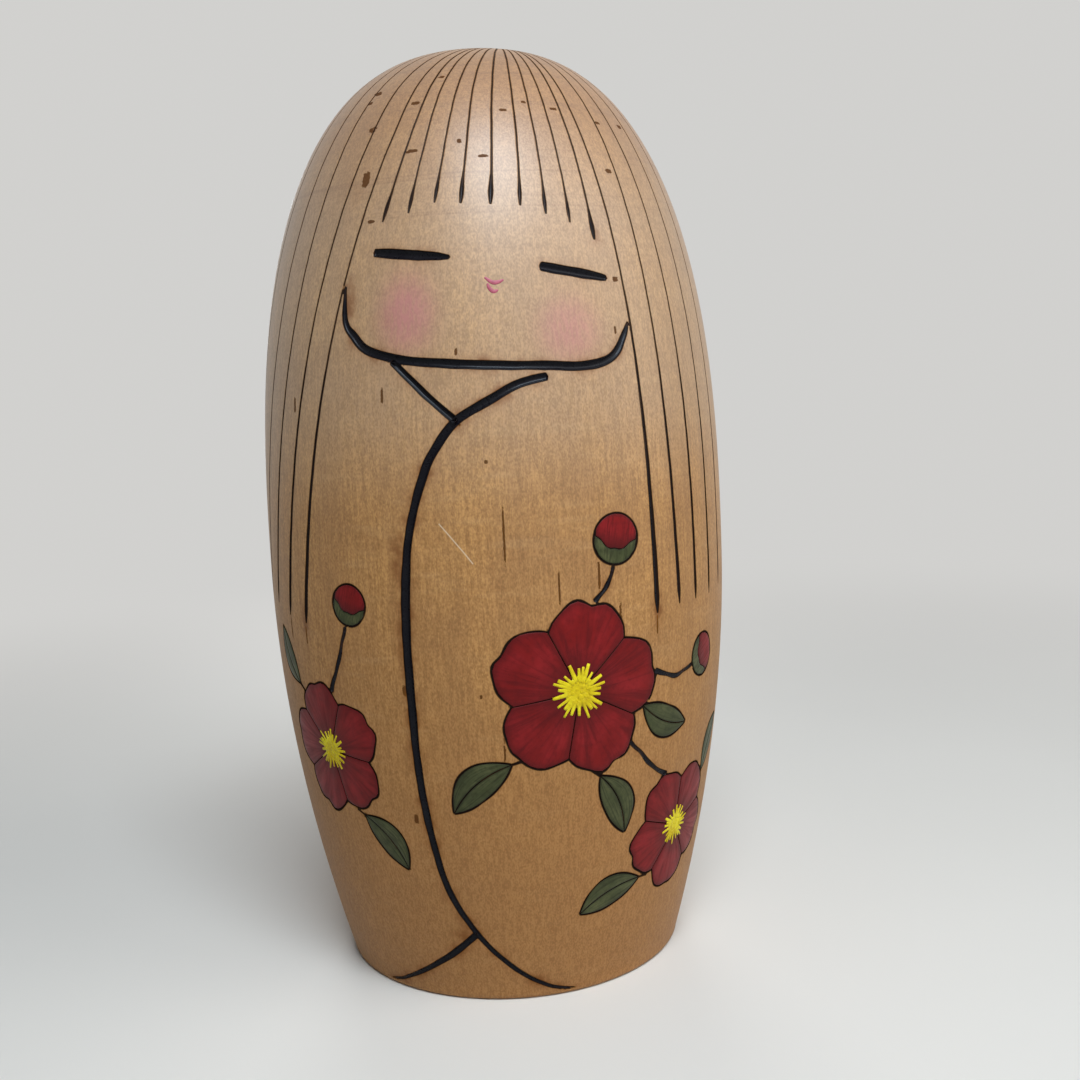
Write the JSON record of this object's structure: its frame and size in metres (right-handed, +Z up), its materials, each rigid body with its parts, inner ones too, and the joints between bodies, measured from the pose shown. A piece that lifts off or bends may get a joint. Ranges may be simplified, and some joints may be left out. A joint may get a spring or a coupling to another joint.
{
  "type": "kokeshi doll",
  "caption": "Bullet-shaped turned wooden kokeshi doll with burnt and lacquered hair, face and robe lines and a painted blossom spray, standing on a flat base.",
  "frame": {"origin": "centre of the flat base, on the surface that the doll stands on", "axes": "+Z runs up the lathe axis to the crown, the face looks along -Y, +X is on the viewer's right"},
  "size_m": [0.123, 0.1231, 0.24],
  "materials": {
    "turned_wood": "honey-brown turned hardwood with fine upright grain and dark flecks, waxed to a satin sheen",
    "black_lacquer": "glossy black lacquer lying in burnt grooves",
    "lip_paint": "pink-red brush paint, thin",
    "red_paint": "deep red brush paint, satin, varied in tone",
    "yellow_paint": "warm yellow brush paint, satin",
    "green_paint": "dark green brush paint, satin"
  },
  "bodies": {
    "root": {"turned_body": "turned_wood", "hair_lines": "black_lacquer", "chin_line": "black_lacquer", "eye_line_left": "black_lacquer", "eye_line_right": "black_lacquer", "mouth_stroke_upper": "lip_paint", "mouth_stroke_lower": "lip_paint", "collar_line": "black_lacquer", "robe_edge_line": "black_lacquer", "hem_line": "black_lacquer", "blossom_front": "red_paint", "blossom_front_heart": "yellow_paint", "blossom_low": "red_paint", "blossom_low_heart": "yellow_paint", "blossom_left": "red_paint", "blossom_left_heart": "yellow_paint", "bud_top": "red_paint", "bud_side": "red_paint", "bud_left": "red_paint", "leaf_front_1": "green_paint", "leaf_front_2": "green_paint", "leaf_front_3": "green_paint", "leaf_low_1": "green_paint", "leaf_low_2": "green_paint", "leaf_left_1": "green_paint", "leaf_left_2": "green_paint", "twig_front": "black_lacquer", "twig_side": "black_lacquer", "twig_low": "black_lacquer", "twig_left": "black_lacquer"}
  },
  "joints": []
}
